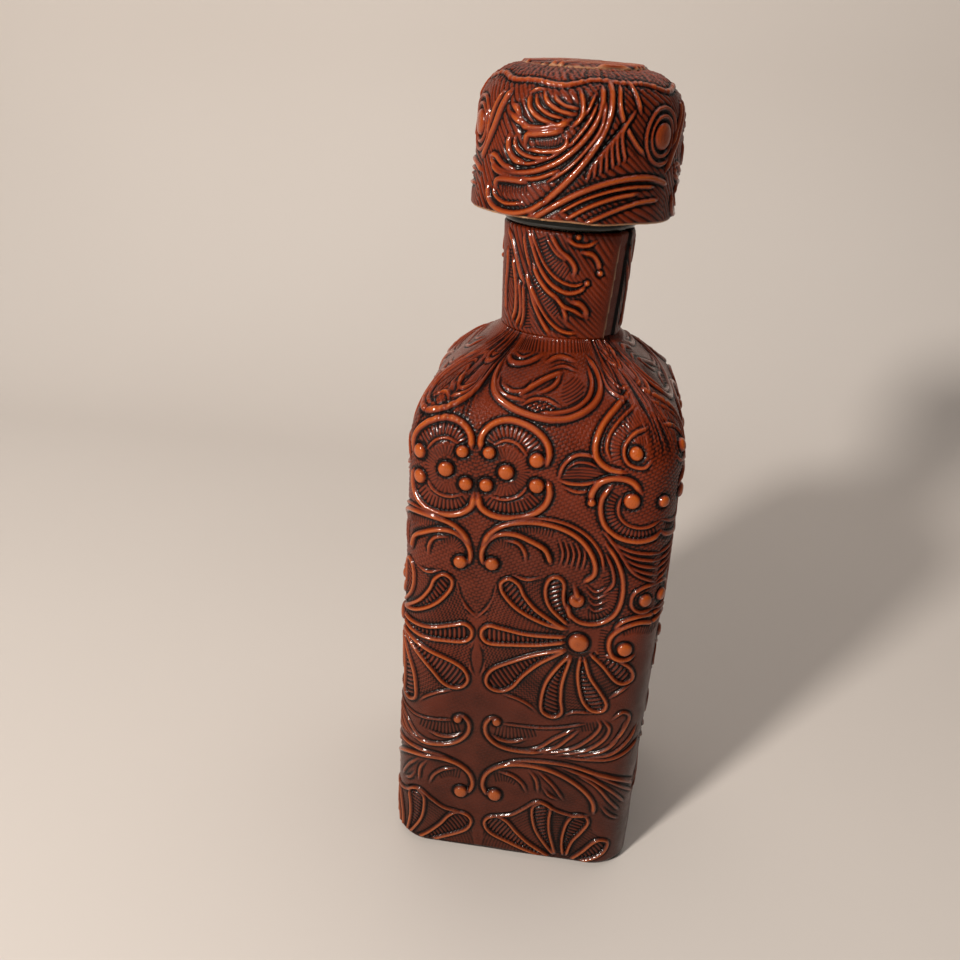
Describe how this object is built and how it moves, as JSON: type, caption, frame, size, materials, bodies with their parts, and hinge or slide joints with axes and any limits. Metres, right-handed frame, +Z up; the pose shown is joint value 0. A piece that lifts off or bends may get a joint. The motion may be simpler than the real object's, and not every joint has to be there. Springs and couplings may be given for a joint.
{
  "type": "leather-covered decanter",
  "caption": "Square glass decanter with rounded shoulders and round neck, covered in embossed leather, with a big round leather-covered cork stopper.",
  "frame": {"origin": "middle of the base, on the surface that the decanter stands on", "axes": "+Z up along the neck, the front face looks along -Y, +X to the front face's right"},
  "size_m": [0.084, 0.084, 0.2616],
  "materials": {
    "dark_glass": "smooth, nearly black glass",
    "embossed_leather": "embossed, antiqued dark in the hollows and lacquered",
    "plain_leather": "plain, matte",
    "core_wood": "turned, unvarnished",
    "cork": "natural cork"
  },
  "bodies": {
    "bottle": {"glass_bottle": "dark_glass", "body_leather": "embossed_leather", "base_leather": "plain_leather", "neck_leather": "embossed_leather"},
    "stopper": {"cap_core": "core_wood", "cap_side_leather": "embossed_leather", "cap_top_leather": "embossed_leather", "cap_lining": "plain_leather", "cork": "cork"}
  },
  "joints": [
    {"name": "stopper_lift", "type": "slide", "parent": "bottle", "child": "stopper", "axis": [0, 0, 1], "range_m": [0, 0.04]}
  ]
}
